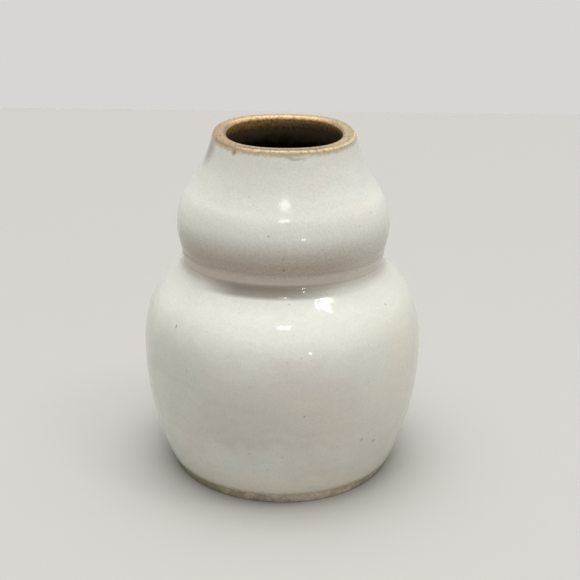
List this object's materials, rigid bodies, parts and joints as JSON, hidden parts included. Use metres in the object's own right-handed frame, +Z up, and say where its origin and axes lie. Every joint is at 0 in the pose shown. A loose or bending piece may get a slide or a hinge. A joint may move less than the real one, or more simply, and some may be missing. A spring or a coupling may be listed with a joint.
{
  "type": "gourd vase",
  "caption": "Small gourd-shaped stoneware vase: round belly, tight waist, smaller bulb and a conical neck with a thick flat lip.",
  "frame": {"origin": "centre of the ring that the foot stands on", "axes": "+Z up along the axis that the vase was thrown on, from the foot to the mouth; the pictured side faces -Y"},
  "size_m": [0.0932, 0.0932, 0.115],
  "materials": {
    "clay": "bare toasted stoneware",
    "slip": "fired slip",
    "outer_glaze": "satin cream with iron specks",
    "lip_glaze": "taupe breaking to amber at the edges",
    "liner_glaze": "gloss dark brown"
  },
  "bodies": {
    "root": {"lower_chamber": "clay", "upper_chamber": "clay", "joint_slip": "slip", "outer_glaze": "outer_glaze", "lip_glaze": "lip_glaze", "liner_glaze": "liner_glaze"}
  },
  "joints": []
}
